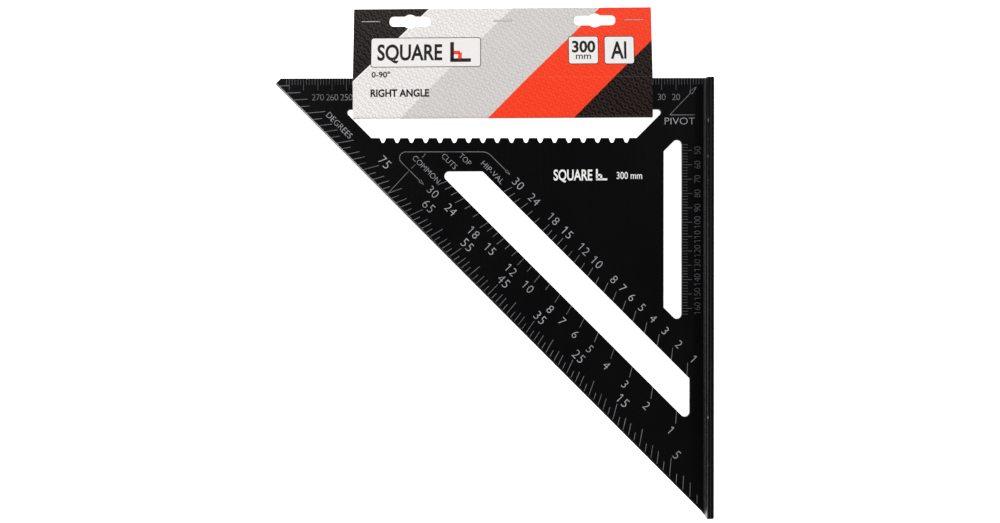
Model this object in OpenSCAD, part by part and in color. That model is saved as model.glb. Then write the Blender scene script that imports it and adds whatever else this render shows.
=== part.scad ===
// Rafter square: a right triangle of aluminium plate with a tall fence along
// one leg, sold with a printed card folded over its ruled bar and stapled.
// X runs from the blade's tip to the fence, Y from the fence's foot end to the
// ruled edge, Z out of the face that carries the scales.
// The origin is the pivot: the fence's inner wall meets the ruled edge there.
// Places on the blade are written (u, v): u from the fence's inner wall towards
// the tip, v from the ruled edge towards the foot end.

/* [Blade] */
// Distance from the fence's inner wall to the blade's tip
blade_l = 300; // [290:0.5:303]
// Length of each leg, to where the hypotenuse would meet it
leg_l = 304; // [303.5:0.5:304.5]
// Thickness of the blade
blade_t = 3; // [2.5:0.1:4]
// Width of the bevels along the hypotenuse, seen from above
bevel_w = 1.3; // [0.5:0.1:2]
// Depth of each of those bevels
bevel_d = 1; // [0.4:0.1:1.2]

/* [Fence] */
// Thickness of the fence
fence_t = 4.8; // [4:0.1:6]
// Height of the fence, centred on the blade
fence_h = 26; // [20:1:34]
// Length of the fence
fence_l = 304.8; // [304.5:0.1:306]
// Chamfer along the fence's four long edges
fence_chamfer = 0.6; // [0.3:0.1:1]
// Slope of the fence's upper end, from the blade to its long edges
fence_end_slope = 0.9; // [0.3:0.1:2]
// Radius of the fence's outer corner at the ruled edge
fence_corner_top = 2.2; // [1:0.1:4]
// Radius of the fence's outer corner at the foot end
fence_corner_foot = 1.2; // [0.5:0.1:3]
// Fillet between the fence's inner wall and the blade
foot_fillet = 0.8; // [0.4:0.1:1.5]

/* [Scribing window] */
// Upper edge of the window, which is the lower edge of the ruled bar
window_top = 21.8; // [20:0.2:23]
// Toothed edge of the window
window_foot = 41.7; // [40:0.2:43]
// Where the toothed edge starts, on the fence's side
window_near = 47.4; // [45:0.2:50]
// Where the toothed edge ends, on the tip's side
window_far = 232.5; // [229:0.1:236]
// Radius of the window's two sharp ends
window_r = 2.1; // [1:0.1:3]
// Where the first pencil notch is
notch_first = 54.5; // [53:0.5:56]
// Distance from one pencil notch to the next
notch_pitch = 10; // [9.5:0.1:10]
// Number of pencil notches
notch_count = 18; // [1:1:18]
// Depth of a pencil notch
notch_depth = 3.4; // [2.5:0.1:4]
// Radius of a pencil notch's bottom
notch_r = 1.3; // [1:0.1:1.5]
// Slope of a pencil notch's flanks, from straight in
notch_flank = 22; // [10:1:30]
// Radius of the teeth's corners
tooth_r = 0.6; // [0.2:0.1:0.8]

/* [Rafter slot] */
// Upper edge of the slot
slot_top = 65; // [62:0.5:68]
// Edge of the slot nearest to the fence
slot_near = 10.3; // [8:0.1:12]
// Sum u + v along the slot's lower side
slot_low = 251.1; // [246:0.1:256]
// Sum u + v along the slot's upper side
slot_high = 219.8; // [215:0.1:225]
// Radius of the slot's two sharp ends
slot_r = 3.3; // [2:0.1:4]

/* [Side window] */
// Edge of the side window nearest to the fence
side_near = 15.9; // [14:0.1:17]
// Edge of the side window furthest from the fence
side_far = 28.5; // [27:0.1:30]
// Difference v - u along the window's upper slope
side_top = 22.6; // [20:0.1:25]
// Sum u + v along the window's lower slope
side_foot = 188.4; // [185:0.1:191]
// Radius of the side window's two sharp ends
side_r = 3.3; // [2:0.1:4]

/* [Hang card] */
// Width of the card
card_w = 209.2; // [190:0.2:209.2]
// Thickness of the card's sheet
card_t = 0.5; // [0.3:0.05:0.6]
// Distance of the card's middle from the fence
card_u = 140.9; // [139.9:0.1:140.9]
// Turn of the card on the bar, in degrees
card_yaw = 0.3; // [0:0.1:0.5]
// How far the fold hangs from the ruled edge
fold_v = 27.9; // [27:0.1:27.9]
// Space between the card's two panels where the bar runs through
card_space = 3.6; // [3.4:0.1:5]
// Droop of the panels beyond the ruled edge, in degrees
card_droop = 9.5; // [6:0.5:10]
// Length of the drooping part of the panels
flap_l = 50.6; // [48:0.2:54]
// Length of a hang slot
hang_slot_l = 28.8; // [20:0.2:34]
// Height of a hang slot
hang_slot_h = 7.3; // [6:0.1:9]
// Radius of a hang slot's ends
hang_slot_r = 3; // [1:0.1:3.5]
// Radius of the round middle of a hang slot
hang_hole_r = 5.1; // [4:0.1:6]
// Distance between the two hang slots
hang_pitch = 129.8; // [120:0.2:140]
// Height of the row of slots and staples on the flap
hang_y = 41.2; // [40:0.1:42]

/* [Staples] */
// Width of a staple's crown, from leg to leg
staple_w = 12.4; // [8:0.2:14]
// Thickness of the staple wire
wire_d = 0.6; // [0.4:0.05:0.7]
// Radius of the wire's bends
wire_bend = 0.5; // [0.4:0.05:0.8]
// Length of wire turned over behind the card
clinch_l = 4.4; // [2:0.2:5]
// Distance of the outer staples from the card's middle
staple_x = 92.3; // [88:0.1:94]

/* [Hidden] */
$fn = 64;
over = 1;
sheet_gap = 0.1;
arc_step = 12;
leg_hole_r = wire_d / 2 + 0.15;
wire_gap = 0.02;
punch_h = 4;
fence_mid = fence_t / 2;
blade_mid_z = -blade_t / 2;
notch_point = notch_depth - notch_r + notch_r / sin(notch_flank);
notch_mouth = notch_point * tan(notch_flank);
panel_z = card_space / 2 + card_t / 2;
fold_y = -(fold_v - panel_z - card_t / 2);
bar_clear = 0.5;
layer_z = -(card_t + sheet_gap);
back_meet = 36;

function at(u, v, r = 0) = [-u, -v, r];
function xy(p) = [p[0], p[1]];
function unit(p) = p / norm(p);
function turned(p, angle) = [p[0] * cos(angle) - p[1] * sin(angle), p[0] * sin(angle) + p[1] * cos(angle)];

// A corner's round, from the side towards a to the side towards b
function corner(p, a, b, r) = r == 0 ? [p] :
    let (
        half = acos(a * b) / 2,
        centre = p + unit(a + b) * r / sin(half),
        start = p + a * r / tan(half) - centre,
        sweep = sign(cross(b, a)) * (180 - 2 * half),
        steps = ceil(abs(sweep) / arc_step)
    )
    [for (i = [0 : steps]) centre + turned(start, sweep * i / steps)];

// The points of an outline whose corners are given as [x, y, radius]
function rounded(corners) =
    let (n = len(corners))
    [for (i = [0 : n - 1])
        let (
            p = xy(corners[i]),
            a = unit(xy(corners[(i + n - 1) % n]) - p),
            b = unit(xy(corners[(i + 1) % n]) - p)
        )
        each corner(p, a, b, corners[i][2])];

// The points beside a path, at a distance of d to its left, mitred at its bends
function beside(path, d) =
    let (last = len(path) - 1)
    [for (i = [0 : last])
        let (
            before = unit(path[max(i, 1)] - path[max(i, 1) - 1]),
            after = unit(path[min(i, last - 1) + 1] - path[min(i, last - 1)]),
            along = unit(before + after)
        )
        path[i] + turned(along, 90) * d / (along * before)];

// The blade's outline; the tip is cut off square to the hypotenuse
module blade_outline() {
    tip_v = leg_l - blade_l;
    polygon([
        [fence_mid, 0], xy(at(blade_l - tip_v, 0)), xy(at(blade_l, tip_v)),
        xy(at(0, leg_l)), [fence_mid, -leg_l]
    ]);
}

// One bevel along the hypotenuse, cut into the face at z = 0
module hypotenuse_bevel() {
    translate([-leg_l, 0, 0])
        rotate([0, 0, -45])
            rotate([90, 0, 90])
                linear_extrude(leg_l * sqrt(2))
                    polygon([[-over, over], [bevel_w, over], [bevel_w, 0], [0, -bevel_d], [-over, -bevel_d]]);
}

// A run of round-bottomed pencil notches along the window's lower edge
module scribing_window() {
    rise = window_foot - window_top;
    notches = [for (i = [0 : notch_count - 1])
        let (u = notch_first + i * notch_pitch)
        each [
            at(u - notch_mouth, window_foot, tooth_r),
            at(u, window_foot + notch_point, notch_r),
            at(u + notch_mouth, window_foot, tooth_r)
        ]];
    polygon(rounded([
        at(window_far, window_foot), at(window_far + rise, window_top, window_r),
        at(window_near - rise, window_top, window_r), at(window_near, window_foot),
        each notches
    ]));
}

module rafter_slot() {
    polygon(rounded([
        at(slot_high - slot_top, slot_top), at(slot_low - slot_top, slot_top, slot_r),
        at(slot_near, slot_low - slot_near, slot_r), at(slot_near, slot_high - slot_near)
    ]));
}

module side_window() {
    polygon(rounded([
        at(side_near, side_top + side_near, side_r), at(side_far, side_top + side_far),
        at(side_far, side_foot - side_far), at(side_near, side_foot - side_near, side_r)
    ]));
}

module blade() {
    difference() {
        translate([0, 0, -blade_t])
            linear_extrude(blade_t)
                difference() {
                    blade_outline();
                    scribing_window();
                    rafter_slot();
                    side_window();
                }
        hypotenuse_bevel();
        translate([0, 0, -blade_t]) mirror([0, 0, 1]) hypotenuse_bevel();
    }
}

// Chamfered section, rounded plan and sloped upper end, cut from one bar
module fence() {
    c = fence_chamfer;
    h = fence_h / 2;
    intersection() {
        rotate([90, 0, 0])
            linear_extrude(fence_l)
                translate([0, blade_mid_z])
                    polygon([
                        [c, -h], [fence_t - c, -h], [fence_t, c - h], [fence_t, h - c],
                        [fence_t - c, h], [c, h], [0, h - c], [0, c - h]
                    ]);
        translate([0, 0, blade_mid_z - h])
            linear_extrude(fence_h)
                polygon(rounded([
                    [0, 0, 0], [0, -fence_l, 0],
                    [fence_t, -fence_l, fence_corner_foot], [fence_t, 0, fence_corner_top]
                ]));
        rotate([90, 0, 90])
            linear_extrude(fence_t)
                polygon([
                    [-fence_l, blade_mid_z - h], [-fence_end_slope, blade_mid_z - h], [0, -blade_t - over],
                    [0, over], [-fence_end_slope, blade_mid_z + h], [-fence_l, blade_mid_z + h]
                ]);
    }
}

// Fillets on both sides of the blade, which end at the hypotenuse
module foot_fillets() {
    r = foot_fillet;
    intersection() {
        rotate([90, 0, 0])
            linear_extrude(leg_l)
                for (side = [0, 1])
                    translate([0, blade_mid_z])
                        mirror([0, side])
                            translate([0, blade_t / 2])
                                polygon([[0, 0], each corner([0, 0], [-1, 0], [0, 1], r)]);
        translate([0, 0, -blade_t - r])
            linear_extrude(blade_t + 2 * r)
                polygon([[0, 0], xy(at(2 * r, 0)), xy(at(2 * r, leg_l - 2 * r)), xy(at(0, leg_l))]);
    }
}

module square_body() {
    color("#16171a") {
        blade();
        fence();
        foot_fillets();
    }
}

// The folded sheet in section: front flap and panel, round fold, back panel and flap
module card_section() {
    rise = [cos(card_droop), -sin(card_droop)];
    layer = [sin(card_droop), cos(card_droop)] * layer_z;
    front = [bar_clear, panel_z];
    fold = [for (a = [90 : arc_step : 270]) [fold_y + panel_z * cos(a), panel_z * sin(a)]];
    path = [
        front + rise * flap_l, front, each fold,
        [bar_clear, -panel_z], front + rise * back_meet + layer, front + rise * flap_l + layer
    ];
    far = beside(path, -card_t / 2);
    polygon([each beside(path, card_t / 2), each [for (i = [len(far) - 1 : -1 : 0]) far[i]]]);
}

// Puts things on the bar, in the middle of the card
module on_card() {
    translate([-card_u, 0, blade_mid_z]) rotate([0, 0, card_yaw]) children();
}

// Puts things on the drooping front panel, measured from where it bends
module on_flap() {
    on_card() translate([0, bar_clear, panel_z]) rotate([-card_droop, 0, 0]) children();
}

module hang_slot_outline() {
    x = hang_slot_l / 2;
    y = hang_slot_h / 2;
    r = hang_slot_r;
    polygon(rounded([[x, y, r], [-x, y, r], [-x, -y, r], [x, -y, r]]));
    circle(hang_hole_r);
}

module hang_card() {
    color("#e0452a")
        difference() {
            on_card()
                rotate([90, 0, 90])
                    linear_extrude(card_w, center = true) card_section();
            on_flap()
                for (side = [-1, 1])
                    translate([side * hang_pitch / 2, hang_y, -punch_h / 2])
                        linear_extrude(punch_h) hang_slot_outline();
            on_flap()
                for (x = [-staple_x, 0, staple_x])
                    for (side = [-1, 1])
                        translate([x + side * staple_w / 2, hang_y, -punch_h / 2])
                            cylinder(h = punch_h, r = leg_hole_r);
        }
}

// A quarter bend of wire that leaves along +x and ends along -z
module bend() {
    translate([0, 0, -wire_bend])
        rotate([90, 0, 0])
            rotate_extrude(angle = 90)
                translate([wire_bend, 0]) circle(wire_d / 2);
}

// A staple through both layers of the flap, its legs turned inwards behind it
module staple(x) {
    crown_z = card_t / 2 + wire_d / 2 + wire_gap;
    clinch_z = layer_z - crown_z;
    straight = staple_w / 2 - wire_bend;
    leg = crown_z - clinch_z - 2 * wire_bend;
    color("#c4c7cb")
        on_flap()
            translate([x, hang_y, 0]) {
                translate([-straight, 0, crown_z])
                    rotate([0, 90, 0]) cylinder(h = 2 * straight, r = wire_d / 2);
                for (side = [0, 1])
                    mirror([side, 0, 0])
                        translate([straight, 0, 0]) {
                            translate([0, 0, crown_z]) bend();
                            translate([wire_bend, 0, clinch_z + wire_bend])
                                cylinder(h = leg, r = wire_d / 2);
                            translate([0, 0, clinch_z]) mirror([0, 0, 1]) bend();
                            translate([-clinch_l, 0, clinch_z])
                                rotate([0, 90, 0]) cylinder(h = clinch_l, r = wire_d / 2);
                        }
            }
}

module staple_left() { staple(-staple_x); }
module staple_middle() { staple(0); }
module staple_right() { staple(staple_x); }

square_body();
hang_card();
staple_left();
staple_middle();
staple_right();
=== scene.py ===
import math

import bpy
from mathutils import Matrix, Vector


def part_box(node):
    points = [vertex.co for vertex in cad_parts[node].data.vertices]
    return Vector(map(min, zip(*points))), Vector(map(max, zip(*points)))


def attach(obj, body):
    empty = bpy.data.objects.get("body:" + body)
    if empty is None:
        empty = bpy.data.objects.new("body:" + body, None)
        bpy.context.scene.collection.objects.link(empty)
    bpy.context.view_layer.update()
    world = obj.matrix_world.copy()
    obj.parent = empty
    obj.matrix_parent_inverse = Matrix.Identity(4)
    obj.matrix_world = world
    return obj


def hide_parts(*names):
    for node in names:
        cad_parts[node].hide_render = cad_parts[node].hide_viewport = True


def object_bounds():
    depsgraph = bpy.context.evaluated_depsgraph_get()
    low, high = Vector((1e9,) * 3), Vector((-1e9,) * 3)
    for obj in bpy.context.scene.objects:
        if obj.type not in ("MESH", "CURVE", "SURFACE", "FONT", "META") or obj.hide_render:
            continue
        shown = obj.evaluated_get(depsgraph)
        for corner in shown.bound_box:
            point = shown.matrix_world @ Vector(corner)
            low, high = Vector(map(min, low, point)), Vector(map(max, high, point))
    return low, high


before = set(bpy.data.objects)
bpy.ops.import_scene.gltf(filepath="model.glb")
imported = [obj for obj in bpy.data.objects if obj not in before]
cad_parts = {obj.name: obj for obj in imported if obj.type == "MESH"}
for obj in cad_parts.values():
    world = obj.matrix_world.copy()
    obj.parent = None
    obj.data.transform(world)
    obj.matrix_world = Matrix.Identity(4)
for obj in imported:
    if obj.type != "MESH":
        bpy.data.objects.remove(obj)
cad_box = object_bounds()
mm = 0.001

# The studio: a white table that glows evenly under the square, and soft boxes all
# round it with nothing overhead, so that the black faces stay black and only the
# bevel and the fence's edges catch the two low boxes on the left.
table_glow = 0.95
table_size = 40
table_gap = 0.02 * mm
middle = Vector((-0.14, -0.13, 0))
box_away = 2.0

scene = bpy.context.scene
scene.view_settings.view_transform = "Standard"

bpy.ops.object.camera_add(
    location=(-0.13202, -0.12699, 0.81434),
    rotation=[math.radians(turn) for turn in (-0.067, 0.739, 0.038)],
)
camera = bpy.context.object
camera.data.lens = 42
camera.data.sensor_width = 36
camera.data.clip_start = 0.01
scene.camera = camera

table_z = cad_box[0][2] - table_gap
bpy.ops.mesh.primitive_plane_add(size=table_size, location=(0, 0, table_z))
table = bpy.context.object
table.name = "white_table"
table_white = bpy.data.materials.new("white_table")
table_white.use_nodes = True
table_shader = table_white.node_tree.nodes["Principled BSDF"]
table_shader.inputs["Base Color"].default_value = (0.85, 0.85, 0.85, 1)
table_shader.inputs["Roughness"].default_value = 0.9
table_shader.inputs["Specular IOR Level"].default_value = 0.1
table_shader.inputs["Emission Color"].default_value = (1, 1, 1, 1)
table_shader.inputs["Emission Strength"].default_value = table_glow
table.data.materials.append(table_white)

for name, azimuth, elevation, size, watts in (
    ("key_left", 165, 42, (1.2, 1.2), 20),
    ("fill_right", 20, 42, (1.2, 1.2), 16),
    ("fill_foot", 265, 42, (1.4, 1.0), 12),
    ("fill_top", 95, 42, (1.4, 1.0), 12),
    ("low_left", 209, 11.5, (0.45, 0.22), 13),
    ("low_side", 183, 9, (0.5, 0.3), 2.2),
):
    level = math.cos(math.radians(elevation))
    outward = Vector((
        math.cos(math.radians(azimuth)) * level,
        math.sin(math.radians(azimuth)) * level,
        math.sin(math.radians(elevation)),
    ))
    bpy.ops.object.light_add(
        type="AREA",
        location=middle + outward * box_away,
        rotation=outward.to_track_quat("Z", "Y").to_euler(),
    )
    light = bpy.context.object
    light.name = name
    light.data.shape = "RECTANGLE"
    light.data.size, light.data.size_y = size
    light.data.energy = watts

surroundings = bpy.data.worlds.new("studio")
surroundings.use_nodes = True
surroundings.node_tree.nodes["Background"].inputs["Color"].default_value = (0.014, 0.014, 0.015, 1)
scene.world = surroundings

# The square itself: one T-shaped extrusion of aluminium, sawn to a triangle and
# bevelled along its long edge, blasted fine and anodised satin black. The lines
# of the die still run along the fence, and its corners have rubbed bright. Two
# lighter lines, one down the fence's inner wall and one along its top, are painted
# highlights where the fence's shape would catch the light.
fence_thick = 4.8 * mm
corner_w = 0.75 * mm
# Where the two painted highlight lines lie: one on the fence's inner wall, one on its top face.
painted_wall_highlight_z = 3.6 * mm
painted_top_highlight_x = 2.4 * mm
near = 0.3 * mm


def lit(red, green, blue):
    """A colour given as it is seen, 0 to 255, as the light that it sends."""
    seen = [part / 255 for part in (red, green, blue)]
    return (*[part / 12.92 if part <= 0.04 else ((part + 0.055) / 1.055) ** 2.4 for part in seen], 1)


class Value:
    """One output of a node, which can be written into sums."""

    def __init__(self, finish, socket):
        self.finish = finish
        self.socket = socket

    def __add__(self, other):
        return self.finish.maths("ADD", self, other)

    def __sub__(self, other):
        return self.finish.maths("SUBTRACT", self, other)

    def __rsub__(self, other):
        return self.finish.maths("SUBTRACT", other, self)

    def __mul__(self, other):
        return self.finish.maths("MULTIPLY", self, other)

    def __truediv__(self, other):
        return self.finish.maths("DIVIDE", self, other)

    def __gt__(self, other):
        return self.finish.maths("GREATER_THAN", self, other)

    def __lt__(self, other):
        return self.finish.maths("LESS_THAN", self, other)

    def __abs__(self):
        return self.finish.maths("ABSOLUTE", self)

    __radd__ = __add__
    __rmul__ = __mul__


class Finish:
    """A material whose pattern is built node by node and fed to its shader."""

    def __init__(self, name, **constants):
        self.material = bpy.data.materials.new(name)
        self.material.use_nodes = True
        self.nodes = self.material.node_tree.nodes
        self.shader = self.nodes["Principled BSDF"]
        for socket, value in constants.items():
            self.shader.inputs[socket.replace("_", " ")].default_value = value

    def node(self, kind, settings=None, inputs=None, output=0):
        """A node with its settings and its inputs' values or links; gives one output."""
        made = self.nodes.new(kind)
        for name, value in (settings or {}).items():
            setattr(made, name, value)
        for name, value in (inputs or {}).items():
            self.join(value, made.inputs[name])
        return Value(self, made.outputs[output])

    def join(self, value, socket):
        if isinstance(value, Value):
            self.material.node_tree.links.new(value.socket, socket)
        else:
            socket.default_value = value

    def feed(self, socket, value):
        self.join(value, self.shader.inputs[socket])

    def maths(self, operation, *terms):
        return self.node("ShaderNodeMath", {"operation": operation}, dict(enumerate(terms)))

    def place(self):
        return self.node("ShaderNodeTexCoord", output="Object")

    def along(self, place, scale, turn=0):
        """The place, stretched by a scale for each axis and turned about Z, in degrees."""
        return self.node("ShaderNodeMapping", None, {
            "Vector": place, "Rotation": (0, 0, math.radians(turn)), "Scale": scale,
        })

    def noise(self, place, scale, detail=2):
        return self.node("ShaderNodeTexNoise", None, {"Vector": place, "Scale": scale, "Detail": detail})

    def parts(self, place):
        split = self.node("ShaderNodeSeparateXYZ", None, {"Vector": place}).socket.node
        return [Value(self, output) for output in split.outputs]

    def ramp(self, value, low, high):
        """0 below low and 1 above high, smooth between them."""
        return self.node("ShaderNodeMapRange", {"interpolation_type": "SMOOTHSTEP"}, {
            "Value": value, "From Min": low, "From Max": high,
        })

    def mixed(self, factor, first, second):
        """One colour where the factor is 0, and another where it is 1."""
        mix = self.nodes.new("ShaderNodeMix")
        mix.data_type = "RGBA"
        for socket, value in zip((mix.inputs[0], mix.inputs[6], mix.inputs[7]), (factor, first, second)):
            self.join(value, socket)
        return Value(self, mix.outputs[2])

    def bumped(self, *layers):
        """Bumps laid over each other, each one (height, its depth in metres, strength)."""
        normal = None
        for height, depth, strength in layers:
            inputs = {"Height": height, "Distance": depth, "Strength": strength}
            if normal:
                inputs["Normal"] = normal
            normal = self.node("ShaderNodeBump", None, inputs)
        self.feed("Normal", normal)


def finish_node(name, finish):
    """Gives a node of the frame its finish, in every slot that it has."""
    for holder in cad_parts[name].material_slots:
        holder.material = finish.material


body_low, body_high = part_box("square_body")
fence_mid_x = body_high[0] - fence_thick / 2
fence_mid_z = (body_low[2] + body_high[2]) / 2
fence_half = (body_high[2] - body_low[2]) / 2

anodised = Finish("black_anodised_aluminium", IOR=1.5, Specular_IOR_Level=0.3)
where = anodised.place()
x, _, z = anodised.parts(where)
die_lines = anodised.noise(anodised.along(where, (2600, 9, 2600)), 1, 4)
blasted = anodised.noise(where, 5200, 3)
cloudy = anodised.noise(where, 16, 3)
rubbed_spots = anodised.noise(anodised.along(where, (900, 260, 900)), 1, 5)

into_x = abs(x - fence_mid_x) - (fence_thick / 2 - corner_w)
into_z = abs(z - fence_mid_z) - (fence_half - corner_w)
on_corner = anodised.maths("MINIMUM", into_x, into_z)
rubbed = anodised.ramp(on_corner, 0, 0.2 * mm) * anodised.ramp(rubbed_spots, 0.66, 0.72)

# Painted highlights: a lighter line on the fence's inner wall and one along its top, standing in for the
# light that the fence's shape would catch.
off_painted_wall_highlight = anodised.ramp(abs(z - painted_wall_highlight_z), 0.6 * mm, 1.4 * mm)
painted_wall_highlight = (1 - off_painted_wall_highlight) * (abs(x) < near)
off_painted_top_highlight = anodised.ramp(abs(x - painted_top_highlight_x), 0.15 * mm, 0.4 * mm)
painted_top_highlight = (1 - off_painted_top_highlight) * (z > body_high[2] - near)

tone = anodised.mixed(cloudy, lit(2, 2, 3), lit(7, 7, 8))
tone = anodised.mixed(anodised.ramp(die_lines, 0.35, 0.75) * 0.35, tone, lit(12, 12, 14))
# The painted highlight lines, laid over the tone in a lighter grey.
tone = anodised.mixed(painted_wall_highlight + 0.25 * painted_top_highlight, tone, lit(84, 84, 86))
anodised.feed("Base Color", anodised.mixed(rubbed, tone, lit(190, 190, 192)))
anodised.feed("Metallic", rubbed * 0.9)
anodised.feed("Roughness", 0.2 + 0.08 * blasted + 0.06 * cloudy)
anodised.bumped((die_lines, 0.006 * mm, 0.35), (blasted, 0.004 * mm, 0.3))
finish_node("square_body", anodised)

# The rule along the upper edge, in millimetres from the fence's inner wall: lines
# and numbers that a laser has burnt through the anodising to the aluminium below.
# The numbers stand on equal cells, and a 1 is a plain line with a flag.
mark_depth = 0.02 * mm
scribe_w = 0.34 * mm
thin = -0.016
rule_end = 292
rule_edge = 0.15
rule_long = 8.3
rule_short = 4.5
rule_number_v = 13.2


def at(u, v):
    """A place on the blade, u from the fence's wall and v from the ruled edge, in mm."""
    return Vector((-u * mm, -v * mm))


def thicken(piece, depth):
    """Gives a flat piece its depth, half of it on each side."""
    shell = piece.modifiers.new("depth", "SOLIDIFY")
    shell.thickness = depth
    shell.offset = 0
    bpy.context.view_layer.objects.active = piece
    bpy.ops.object.modifier_apply(modifier=shell.name)


def scribed(name, lines, width):
    """A piece of flat bars, one for each (start, end)."""
    bpy.ops.object.select_all(action="DESELECT")
    bpy.ops.object.add(type="MESH", enter_editmode=True)
    origin = (0, 0, 0)
    for start, end in lines:
        run = end - start
        bpy.ops.mesh.primitive_plane_add(size=1)
        bpy.ops.transform.resize(value=(run.length, width, 1), center_override=origin)
        bpy.ops.transform.rotate(
            value=-math.atan2(run.y, run.x), orient_axis="Z", center_override=origin)
        bpy.ops.transform.translate(value=((start + end) / 2).to_3d())
    bpy.ops.object.mode_set(mode="OBJECT")
    piece = bpy.context.object
    piece.name = name
    thicken(piece, 2 * mark_depth)
    return piece


def lettered(body, foot, angle, height, weight, width=None):
    """A word or a digit as a thin mesh, standing on foot at this angle, in degrees."""
    capital = 0.682
    same_point = 0.0005 * mm
    bpy.ops.object.select_all(action="DESELECT")
    bpy.ops.object.text_add(location=foot.to_3d(), rotation=(0, 0, math.radians(angle)))
    text = bpy.context.object
    text.data.body = body
    text.data.size = height / capital
    text.data.align_x = "CENTER"
    text.data.offset = weight * text.data.size
    text.data.extrude = mark_depth
    text.data.resolution_u = 4
    bpy.context.view_layer.update()
    if width:
        text.scale.x = width / text.dimensions.x
    bpy.ops.object.convert(target="MESH")
    bpy.ops.object.transform_apply(location=True, rotation=True, scale=True)
    bpy.ops.object.mode_set(mode="EDIT")
    bpy.ops.mesh.select_all(action="SELECT")
    bpy.ops.mesh.remove_doubles(threshold=same_point)
    bpy.ops.object.mode_set(mode="OBJECT")
    return bpy.context.object


def joined(name, pieces):
    """The pieces as one mesh, under this name."""
    bpy.ops.object.select_all(action="DESELECT")
    for piece in pieces:
        piece.select_set(True)
    bpy.context.view_layer.objects.active = pieces[0]
    bpy.ops.object.join()
    pieces[0].name = name
    return pieces[0]


def numbered(name, labels, height, line, spread):
    """Numbers given as (text, middle, angle), with spread as a cell's width to its height."""
    cell = spread * height
    flag_drop = 0.22 * height
    flag_back = 0.26 * height
    ruled = []
    drawn = []
    for text, centre, angle in labels:
        across = Vector((math.cos(math.radians(angle)), math.sin(math.radians(angle))))
        up = Vector((-across.y, across.x))
        for index, digit in enumerate(text):
            foot = centre + across * (index - (len(text) - 1) / 2) * cell - up * height / 2
            if digit == "1":
                top = foot + up * height
                ruled += [(foot, top), (top, top - up * flag_drop - across * flag_back)]
            else:
                drawn.append(lettered(digit, foot, angle, height, thin))
    if ruled:
        drawn.append(scribed(name, ruled, line))
    return joined(name, drawn)


def inlaid(piece, finish, body="square"):
    """The marks' finish and the body that they are made on."""
    piece.data.materials.clear()
    piece.data.materials.append(finish.material)
    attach(piece, body)


def scribed_finish(name, seen):
    """Bare aluminium at the bottom of a scribed line, with the beam's uneven burn."""
    finish = Finish(name, Metallic=0.35, IOR=1.45, Specular_IOR_Level=0.3)
    spot = finish.place()
    burn = finish.noise(spot, 1400, 4)
    patch = finish.noise(spot, 60, 2)
    dark = [part * 0.35 for part in lit(*seen)[:3]] + [1]
    clear = finish.ramp(burn * 0.7 + patch * 0.5, 0.4, 0.72)
    finish.feed("Base Color", finish.mixed(clear, dark, lit(*seen)))
    finish.feed("Roughness", 0.5 + 0.2 * burn)
    finish.bumped((burn, 0.01 * mm, 0.6))
    return finish


bright_mark = scribed_finish("laser_scribed_bright", (190, 192, 196))
plain_mark = scribed_finish("laser_scribed_plain", (140, 141, 145))
faint_mark = scribed_finish("laser_scribed_faint", (96, 97, 102))

rule_lines = []
for n in range(2, rule_end + 1, 2):
    rule_lines.append((at(n, rule_edge), at(n, rule_long if n % 10 == 0 else rule_short)))
inlaid(scribed("rule_lines", rule_lines, scribe_w), faint_mark)
rule_labels = [(str(n), at(n, rule_number_v), 0) for n in range(20, 271, 10)]
rule_numbers = numbered("rule_numbers", rule_labels, height=4.4 * mm, line=0.42 * mm, spread=0.66)
inlaid(rule_numbers, plain_mark)

# The rule beside the side window, burnt in the same way, in millimetres from the
# ruled edge, with its numbers turned to be read from the fence.
side_edge = 15.7
side_long = 7.0
side_short = 4.0
side_shift = 0.5
side_number_u = 5.1
side_lines = []
for n in range(46, 165, 2):
    length = side_long if n % 10 == 0 else side_short
    side_lines.append((at(side_edge, n + side_shift), at(side_edge - length, n + side_shift)))
inlaid(scribed("side_rule_lines", side_lines, scribe_w), faint_mark)
side_labels = [(str(n), at(side_number_u, n + side_shift), 90) for n in range(50, 161, 10)]
side_numbers = numbered("side_rule_numbers", side_labels, height=4.3 * mm, line=0.38 * mm, spread=0.68)
inlaid(side_numbers, faint_mark)

# The degrees: a burnt line for each one, inside the bevel of the long edge and in
# three lengths, all of them aimed at the pivot corner.
leg = 304.0
bevel_across = 1.3 * math.sqrt(2)
bevel_gap = 0.3
away = Vector((1, 1)) / math.sqrt(2)
along = Vector((1, -1)) / math.sqrt(2)
degree_depth = {0: 9.8, 1: 4.7, 2: 7.1, 3: 7.1, 4: 4.7}
number_off = (away * 4.4 + along * 1.3) * mm


def ray(angle, reach):
    """Where the ray from the pivot at this angle from the fence has u + v = reach."""
    s, c = math.sin(math.radians(angle)), math.cos(math.radians(angle))
    return at(reach * s / (s + c), reach * c / (s + c))


degree_edge = leg - bevel_across - bevel_gap
degree_lines = []
degree_labels = []
for angle in range(1, 90):
    end = ray(angle, degree_edge - degree_depth[angle % 5] * math.sqrt(2))
    degree_lines.append((ray(angle, degree_edge), end))
    if angle in range(5, 80, 10):
        degree_labels.append((str(angle), end + number_off, -45))
inlaid(scribed("degree_lines", degree_lines, scribe_w), plain_mark)
degrees = numbered("degree_numbers", degree_labels, height=6.3 * mm, line=0.56 * mm, spread=0.78)
inlaid(degrees, bright_mark)

# The roof pitches, burnt on both sides of the slot: inches of rise in a foot of
# run for common rafters, and in seventeen inches for hips and valleys.
slot_low = 251.1
slot_high = 219.8
slot_gap = 0.25
named_depth = 6.7
other_depth = 5.0
named_pitches = (30, 24, 18, 15, 12, 10, 8, 7, 6, 5, 4, 3, 2, 1)
other_pitches = (28, 26, 22, 20, 17, 16, 14, 13, 11, 9)


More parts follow.
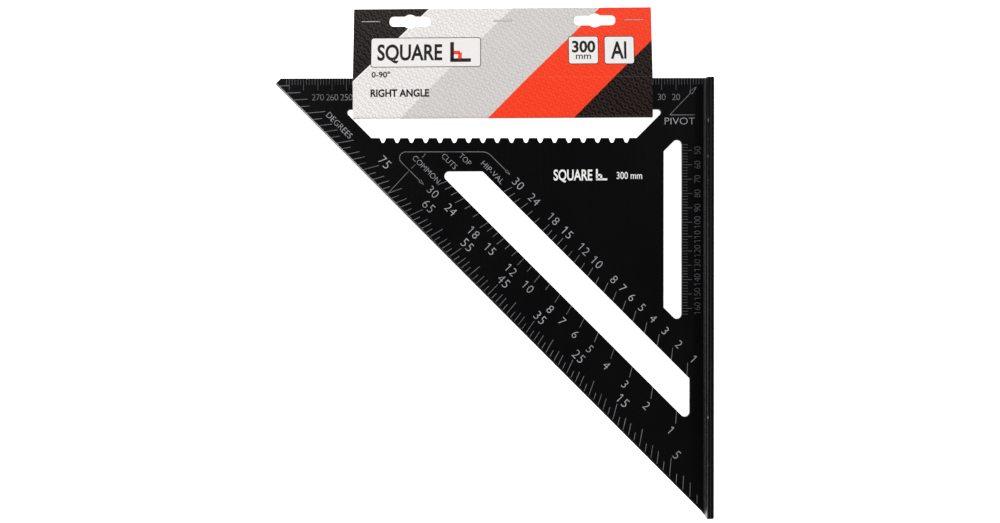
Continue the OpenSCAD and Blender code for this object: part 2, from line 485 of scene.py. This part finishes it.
def pitch_scale(name, run, edge, side, off, shift):
    """Lines and numbers beyond one edge of the slot; side is -1 below it and 1 above."""
    start = edge - side * slot_gap
    lines = []
    labels = []
    for rise in named_pitches + other_pitches:
        angle = math.degrees(math.atan(rise / run))
        depth = named_depth if rise in named_pitches else other_depth
        end = ray(angle, start - side * depth * math.sqrt(2))
        lines.append((ray(angle, start), end))
        if rise in named_pitches:
            back = 2.0 if 9 < rise < 20 else 0
            centre = end + (side * away * off + along * (shift - back)) * mm
            labels.append((str(rise), centre, -45))
    inlaid(scribed(name + "_lines", lines, scribe_w), plain_mark)
    pitches = numbered(name + "_numbers", labels, height=5.8 * mm, line=0.52 * mm, spread=0.78)
    inlaid(pitches, bright_mark)


pitch_scale("common", run=12, edge=slot_low, side=-1, off=5.6, shift=1.2)
pitch_scale("hip_valley", run=17, edge=slot_high, side=1, off=4.7, shift=1.3)

# The captions of the scales, and the lines that lead from them to their numbers and
# to the pivot corner, burnt as the scales are. A caption is given as its word, middle,
# angle, height and width.
captions = [
    ("DEGREES", at(254.96, 32.73), -45, 4.2, 23.0),
    ("COMMON", at(193.99, 63.65), -45, 3.8, 24.8),
    ("CUTS", at(177.91, 58.0), -45, 3.8, 12.8),
    ("TOP", at(166.94, 56.68), -45, 3.8, 9.7),
    ("HIP-VAL", at(147.8, 65.69), -45, 3.8, 20.0),
    ("PIVOT", at(17.54, 30.0), 0, 4.8, 20.9),
]
words = []
for word, centre, angle, height, width in captions:
    up = Vector((-math.sin(math.radians(angle)), math.cos(math.radians(angle))))
    foot = centre - up * height * mm / 2
    words.append(lettered(word, foot, angle, height * mm, thin, width * mm))
inlaid(joined("scale_captions", words), bright_mark)


def picked(piece, test):
    """Goes into edit mode with just the points that pass the test selected."""
    bpy.ops.object.mode_set(mode="EDIT")
    bpy.ops.mesh.select_mode(type="VERT")
    bpy.ops.mesh.select_all(action="DESELECT")
    bpy.ops.object.mode_set(mode="OBJECT")
    for vertex in piece.data.vertices:
        vertex.select = test(vertex)
    bpy.ops.object.mode_set(mode="EDIT")


def led(name, start, angle, moves, width):
    """A scribed line that goes ahead by lengths and bends by (radius, degrees)."""
    heading = math.radians(angle)
    bpy.ops.object.select_all(action="DESELECT")
    first = moves[0] * mm
    ahead = Vector((math.cos(heading), math.sin(heading)))
    bpy.ops.mesh.primitive_plane_add(
        size=1, location=(start + ahead * first / 2).to_3d(), rotation=(0, 0, heading))
    piece = bpy.context.object
    piece.name = name
    piece.scale = (first, width, 1)
    bpy.ops.object.transform_apply(location=True, rotation=True, scale=True)
    tip = start + ahead * first
    picked(piece, lambda vertex: (vertex.co.to_2d() - tip).length < width)
    bpy.ops.mesh.select_mode(type="EDGE")
    for move in moves[1:]:
        if isinstance(move, tuple):
            radius, bend = move
            side = Vector((-ahead.y, ahead.x)) * math.copysign(1, bend)
            centre = tip + side * radius * mm
            bpy.ops.mesh.spin(
                steps=6, angle=-math.radians(bend), center=centre.to_3d(), axis=(0, 0, 1))
            turn = Matrix.Rotation(math.radians(bend), 2)
            tip = centre + turn @ (tip - centre)
            ahead = turn @ ahead
        else:
            step = ahead * move * mm
            bpy.ops.mesh.extrude_region_move(TRANSFORM_OT_translate={"value": step.to_3d()})
            tip = tip + step
    bpy.ops.object.mode_set(mode="OBJECT")
    thicken(piece, 2 * mark_depth)
    return piece, tip, ahead


def arrow(tip, ahead, length):
    """The three lines of an open arrowhead."""
    slim = 0.24
    half = Vector((-ahead.y, ahead.x)) * length * slim
    base = tip - ahead * length
    return [(tip, base + half), (base + half, base - half), (base - half, tip)]


lead_w = 0.42 * mm
arrow_l = 3.9 * mm
pointer_l = 5.6 * mm
bracket = at(180, 51.4)
bracket_left, left_tip, left_way = led("lead", bracket, 180, [28.6, (4.2, 135), 18.4], lead_w)
bracket_right, right_tip, right_way = led("lead", bracket, 0, [25.0, (8.5, -45), 15.2], lead_w)
pivot_lead, _, _ = led("lead", at(7.1, 25.75), 180, [17.2], lead_w)
pointer = (at(24.29, 25.75), at(9.7, 10.3))
pointer_way = (pointer[1] - pointer[0]).normalized()
cross_lines = [
    (at(221.5, 81.0), at(206.5, 65.0)), (at(204.5, 63.0), at(201.5, 60.0)),
    (at(197.1, 55.6), at(194.5, 52.8)), pointer,
]
cross_lines += arrow(left_tip + left_way * arrow_l, left_way, arrow_l)
cross_lines += arrow(right_tip + right_way * arrow_l, right_way, arrow_l)
cross_lines += arrow(pointer[1] + pointer_way * pointer_l, pointer_way, pointer_l)
leads = [bracket_left, bracket_right, pivot_lead, scribed("lead_lines", cross_lines, scribe_w)]
inlaid(joined("scale_leads", leads), plain_mark)

# The print on the blade: pad-printed in white over the anodising, with a plain
# word, the sign for a right angle and the length of the blade.
white_ink = Finish("white_pad_print", IOR=1.45, Specular_IOR_Level=0.35)
ink_film = white_ink.noise(white_ink.place(), 900, 3)
white_ink.feed("Base Color", white_ink.mixed(ink_film, lit(232, 232, 230), lit(250, 250, 248)))
white_ink.feed("Roughness", 0.45 + 0.15 * ink_film)
white_ink.bumped((ink_film, 0.004 * mm, 0.5))


def angle_sign(corner, size, width):
    """Two arms at a right angle, and then the two lines of a small square inside them."""
    x, y = Vector((size, 0)), Vector((0, size))
    inner = 0.42
    meet = corner + (x + y) * inner
    return [
        (corner - x * width / size / 2, corner + x),
        (corner, corner + y),
        (corner + x * inner, meet),
        (corner + y * inner, meet),
    ]


sign_h = 7.2 * mm
sign_line = 1.3 * mm
blade_word = lettered("SQUARE", at(91.7, 71.2), 0, height=7.2 * mm, weight=0.02, width=27 * mm)
blade_sign = scribed("sign", angle_sign(at(75.0, 70.6), sign_h, sign_line), sign_line)
blade_size = lettered("300 mm", at(52.4, 70.3), 0, height=4.8 * mm, weight=0.004, width=17.7 * mm)
inlaid(joined("blade_print", [blade_word, blade_sign, blade_size]), white_ink)

# The hang card: one sheet of coated board, printed on its outside, folded over
# the ruled bar so that its two halves meet above it, and punched for two hooks.
# It sits a third of a degree askew on the bar, as a card that hangs loosely does.
card_w = 209.2 * mm
card_t = 0.5 * mm
panel_z = 2.05 * mm
crease_y = 0.5 * mm
flap_l = 50.6 * mm
droop = 9.5
fold_y = -25.6 * mm
meet_s = 36 * mm
card_middle = (-140.9 * mm, 0, -1.5 * mm)
askew = math.radians(0.3)
lean = math.radians(droop)
card_place = Matrix.Translation(card_middle) @ Matrix.Rotation(askew, 4, "Z")
panel_place = card_place @ Matrix.Translation((0, crease_y, panel_z))
flap_place = panel_place @ Matrix.Rotation(-lean, 4, "X")

# Drawn flat, the sheet runs from the top of the front flap down the panel, round the
# ruled bar in small creases and up the back, which meets the flap and lies on it.
fold_steps = 16
arc_l = math.pi * panel_z
panel_l = crease_y - fold_y
halves_apart = card_t + 0.1 * mm
back_y = meet_s * math.cos(lean) - halves_apart * math.sin(lean)
back_z = 2 * panel_z - meet_s * math.sin(lean) - halves_apart * math.cos(lean)
back_lean = -math.degrees(math.atan2(back_z, back_y))
back_crease = fold_y - arc_l - panel_l
meet_crease = back_crease - math.hypot(back_y, back_z)
top = crease_y + flap_l
foot = meet_crease - (flap_l - meet_s)
creases = [
    (fold_y - arc_l * (step + 0.5) / fold_steps, 180 / fold_steps) for step in range(fold_steps)
]
creases += [(back_crease, -back_lean), (meet_crease, back_lean - droop)]

bpy.ops.object.select_all(action="DESELECT")
bpy.ops.mesh.primitive_grid_add(x_subdivisions=12, y_subdivisions=2, size=1)
card = bpy.context.object
card.name = "folded_card"
card.scale = (card_w, top - foot, 1)
card.location = (0, (top + foot) / 2, panel_z)
bpy.ops.object.transform_apply(location=True, rotation=True, scale=True)
bpy.ops.object.mode_set(mode="EDIT")
for crease in [crease_y] + [place for place, turn in creases]:
    bpy.ops.mesh.select_all(action="SELECT")
    bpy.ops.mesh.bisect(plane_co=(0, crease, panel_z), plane_no=(0, 1, 0))
bpy.ops.object.mode_set(mode="OBJECT")
flat_y = [vertex.co.y for vertex in card.data.vertices]


def folded(crease, turn, beyond):
    """Turns what lies beyond a crease about it, by degrees."""
    picked(card, lambda vertex: beyond(flat_y[vertex.index]))
    bpy.ops.transform.rotate(
        value=math.radians(turn), orient_axis="X", center_override=(0, crease, panel_z))
    bpy.ops.object.mode_set(mode="OBJECT")


tiny = 0.001 * mm
folded(crease_y, droop, lambda y: y > crease_y + tiny)
for crease, turn in reversed(creases):
    folded(crease, -turn, lambda y: y < crease - tiny)


def slab(name, centre, size, depth, rounding, steps=6):
    """A flat block with rounded corners, made at centre in the flap's own plane."""
    bpy.ops.object.select_all(action="DESELECT")
    bpy.ops.mesh.primitive_plane_add(size=1)
    block = bpy.context.object
    block.name = name
    block.scale = (*size, 1)
    block.location = centre
    bpy.ops.object.transform_apply(location=True, rotation=True, scale=True)
    bpy.ops.object.mode_set(mode="EDIT")
    bpy.ops.mesh.select_all(action="SELECT")
    bpy.ops.mesh.bevel(offset=rounding, offset_type="OFFSET", segments=steps, affect="VERTICES")
    bpy.ops.object.mode_set(mode="OBJECT")
    thicken(block, depth)
    return block


def on_flap(piece):
    """Puts a piece that was made flat at the flap's crease onto the flap."""
    piece.data.transform(flap_place)
    return piece


# The sheet gets its thickness, printed outside, plain inside and white at its cut
# edges; then the punch goes through both halves at once, for the hooks and the wires.
card_ink = Finish("printed_coated_board", IOR=1.5, Specular_IOR_Level=0.12)
board_plain = Finish("uncoated_board", IOR=1.45, Specular_IOR_Level=0.25)
for finish in (card_ink, board_plain, board_plain):
    card.data.materials.append(finish.material)
sheet = card.modifiers.new("board", "SOLIDIFY")
sheet.thickness = card_t
sheet.offset = 0
sheet.use_even_offset = True
sheet.material_offset = 1
sheet.material_offset_rim = 2
bpy.context.view_layer.objects.active = card
bpy.ops.object.modifier_apply(modifier=sheet.name)

hook_y = 41.2 * mm
hook_pitch = 129.8 * mm
hook_slot = (28.8 * mm, 7.3 * mm)
hook_rounding = 3 * mm
hook_r = 5.1 * mm
staple_x = 92.3 * mm
leg_off = 6.2 * mm
leg_hole_r = 0.42 * mm
punch_z = -0.3 * mm
punch_depth = 4 * mm
round_depth = 4.4 * mm


def drill(x, radius, depth, sides):
    """A round punch at x on the hooks' line."""
    bpy.ops.object.select_all(action="DESELECT")
    bpy.ops.mesh.primitive_cylinder_add(
        vertices=sides, radius=radius, depth=depth, location=(x, hook_y, punch_z))
    bpy.ops.object.transform_apply(location=True, rotation=True, scale=True)
    return bpy.context.object


punches = []
for x in (-hook_pitch / 2, hook_pitch / 2):
    punches.append(slab("punch", (x, hook_y, punch_z), hook_slot, punch_depth, hook_rounding, 8))
    punches.append(drill(x, hook_r, round_depth, 48))
for x in (-staple_x, 0, staple_x):
    punches.append(drill(x - leg_off, leg_hole_r, punch_depth, 16))
    punches.append(drill(x + leg_off, leg_hole_r, punch_depth, 16))
for punch in punches:
    punch.data.materials.clear()
    punch.data.materials.append(board_plain.material)
    on_flap(punch)
card.data.transform(card_place)
for punch in punches:
    hole = card.modifiers.new("hole", "BOOLEAN")
    hole.operation = "DIFFERENCE"
    hole.solver = "EXACT"
    hole.object = punch
    bpy.context.view_layer.objects.active = card
    bpy.ops.object.modifier_apply(modifier=hole.name)
    bpy.data.objects.remove(punch)
bpy.ops.object.select_all(action="DESELECT")
card.select_set(True)
bpy.ops.object.shade_smooth_by_angle(angle=math.radians(25))
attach(card, "card")
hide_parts("hang_card")

# The print on the card: five slanting bands of ink, a thin white line just before
# the last of them, and small rings in rows with bars between them over them all. A
# band is given as where it starts along the slant and the two shades of its ink.
ring_pitch = 5.0 * mm
row_rise = 0.8
row_angle = 45
ring_least = 0.2
ring_more = 0.14
band_edge = 0.12 * mm
line_at = 101.6 * mm
bands = (
    (-78.2 * mm, (255, 72, 42), (232, 56, 30)),
    (-18.1 * mm, (221, 216, 213), (188, 184, 181)),
    (43.3 * mm, (244, 240, 237), (206, 202, 199)),
    (102.1 * mm, (2, 1, 1), (66, 60, 56)),
)

card_uv = card_ink.node("ShaderNodeUVMap")
u, v, _ = card_ink.parts(card_uv)
across = (u - 0.5) * card_w
up = v * (top - foot) + (foot - crease_y)
slant = up - across
flat = card_ink.node("ShaderNodeCombineXYZ", None, {0: across, 1: up})
row_x, row_y, _ = card_ink.parts(card_ink.along(flat, (1, 1, 1), row_angle))
row = row_y / (ring_pitch * row_rise)
row_number = card_ink.maths("FLOOR", row)
shifted = row_x / ring_pitch + 0.5 * row_number
cell_x = card_ink.maths("FRACT", shifted) - 0.5
cell_y = (card_ink.maths("FRACT", row) - 0.5) * row_rise
from_middle = card_ink.maths("SQRT", cell_x * cell_x + cell_y * cell_y)
cell = card_ink.node("ShaderNodeCombineXYZ", None, {
    0: card_ink.maths("FLOOR", shifted), 1: row_number,
})
chance = card_ink.node("ShaderNodeTexWhiteNoise", {"noise_dimensions": "2D"}, {"Vector": cell})
off_ring = abs(from_middle - (ring_least + ring_more * chance))
rings = 1 - card_ink.ramp(off_ring, 0.03, 0.07)
bars = card_ink.ramp(abs(cell_x), 0.43, 0.46) * (1 - card_ink.ramp(abs(cell_y), 0.2, 0.24))
pattern = rings + bars
speckle = card_ink.noise(card_uv, 500, 3)
shade = pattern * 0.8 + speckle * 0.25

ground = card_ink.mixed(shade, lit(2, 1, 1), lit(66, 54, 50))
for start, plain, shaded in bands:
    band = card_ink.mixed(shade, lit(*plain), lit(*shaded))
    past = card_ink.ramp(slant, start - band_edge, start + band_edge)
    ground = card_ink.mixed(past, ground, band)
near_line = 1 - card_ink.ramp(abs(slant - line_at), 0.5 * mm, 0.8 * mm)
ground = card_ink.mixed(near_line, ground, lit(246, 244, 242))
crease_wear = (1 - card_ink.ramp(abs(up), 0.1 * mm, 0.5 * mm)) * card_ink.ramp(speckle, 0.5, 0.62)
card_ink.feed("Base Color", card_ink.mixed(crease_wear * 0.15, ground, lit(225, 222, 218)))
pulp = card_ink.noise(card_ink.place(), 240, 4)
card_ink.feed("Roughness", 0.3 + 0.1 * pulp - 0.05 * pattern)
card_ink.bumped((pulp, 0.03 * mm, 0.25), (pattern, 0.004 * mm, 0.3))

fibres = board_plain.noise(board_plain.place(), 1100, 5)
board_plain.feed("Base Color", board_plain.mixed(fibres, lit(222, 219, 212), lit(246, 244, 239)))
board_plain.feed("Roughness", 0.8 + 0.15 * fibres)
board_plain.bumped((fibres, 0.02 * mm, 0.5))

# The labels on the front: rounded white fields with a dark outline, and dark
# lettering. The words are plain ones, and the sign is that for a right angle. A
# field is given as its middle and its size.


def label_ink(name, low, high, rough, rougher):
    """A printed ink with a fine grain between two colours."""
    ink = Finish(name, IOR=1.5, Specular_IOR_Level=0.2)
    grain = ink.noise(ink.place(), 700, 3)
    ink.feed("Base Color", ink.mixed(grain, lit(*low), lit(*high)))
    ink.feed("Roughness", rough + rougher * grain)
    ink.bumped((grain, 0.004 * mm, 0.4))
    return ink


label_white = label_ink("label_white_ink", (232, 229, 226), (246, 243, 240), rough=0.42, rougher=0.1)
label_black = label_ink("label_black_ink", (10, 9, 9), (28, 26, 26), rough=0.38, rougher=0.12)
label_orange = label_ink("label_orange_ink", (246, 58, 28), (255, 72, 42), rough=0.38, rougher=0.12)

print_z = card_t / 2
outline_w = 0.5
outline_rounding = 2.0 * mm
field_rounding = 1.6 * mm
fields = [
    ("name_field", (-53.6, 18.5), (77.3, 21.7)),
    ("size_field", (56.65, 19.4), (21.2, 20.5)),
    ("metal_field", (81.7, 19.2), (21.2, 20.5)),
]
outlines = []
whites = []
for name, (x, y), (width, height) in fields:
    spot = Vector((x * mm, y * mm, print_z))
    size = (width * mm, height * mm)
    inside = ((width - 2 * outline_w) * mm, (height - 2 * outline_w) * mm)
    on_outline = spot + Vector((0, 0, mark_depth))
    outlines.append(slab(name, spot, size, 2 * mark_depth, outline_rounding))
    whites.append(slab(name, on_outline, inside, 2 * mark_depth, field_rounding))
inlaid(on_flap(joined("field_outlines", outlines)), label_black, "card")
inlaid(on_flap(joined("label_fields", whites)), label_white, "card")

lettering_up = Matrix.Translation((0, 0, print_z + 2 * mark_depth))
sign_w = 2.6 * mm
sign_lines = angle_sign(Vector((-35.2, 12.65)) * mm, size=13.2 * mm, width=sign_w)
sign_arms = scribed("arms", sign_lines[:2], sign_w)
sign_square = scribed("angle_sign", sign_lines[2:], sign_w)
for part in (sign_arms, sign_square):
    part.data.transform(lettering_up)


def printed(text, x, foot, height, weight, width):
    """One word of lettering, made flat with the middle of its foot at x and foot."""
    word = lettered(text, Vector((x, foot)) * mm, 0, height * mm, weight, width * mm)
    word.data.transform(lettering_up)
    return word


label_words = [
    printed("SQUARE", x=-64.9, foot=13.0, height=11.0, weight=0.024, width=45.5),
    printed("300", x=56.65, foot=18.0, height=7.8, weight=0.03, width=16.3),
    printed("mm", x=56.65, foot=12.9, height=4.6, weight=0.01, width=10.6),
    printed("Al", x=81.7, foot=13.2, height=12.0, weight=0.02, width=10.9),
    printed("0-90\u00b0", x=-84.8, foot=0.4, height=4.0, weight=0.02, width=13.0),
]
lettering = on_flap(joined("label_lettering", label_words + [sign_arms]))
inlaid(lettering, label_black, "card")
inlaid(on_flap(sign_square), label_orange, "card")
panel_word = printed("RIGHT ANGLE", x=-71.8, foot=-13.0, height=4.9, weight=0.03, width=41.0)
panel_word.name = "panel_lettering"
panel_word.data.transform(panel_place)
inlaid(panel_word, label_black, "card")

# The staples: flat galvanised wire, driven through both halves of the card above
# the bar and clinched behind them, so that the card can't be pulled off.
wire = Finish("galvanised_wire", Metallic=1.0)
zinc = wire.noise(wire.place(), 1500, 4)
drawn_lines = wire.noise(wire.along(wire.place(), (300, 9000, 9000)), 1, 3)
wire.feed("Base Color", wire.mixed(zinc, lit(178, 180, 182), lit(222, 223, 222)))
wire.feed("Roughness", 0.25 + 0.2 * zinc)
wire.bumped((drawn_lines, 0.01 * mm, 0.4))
for name in ("staple_left", "staple_middle", "staple_right"):
    finish_node(name, wire)
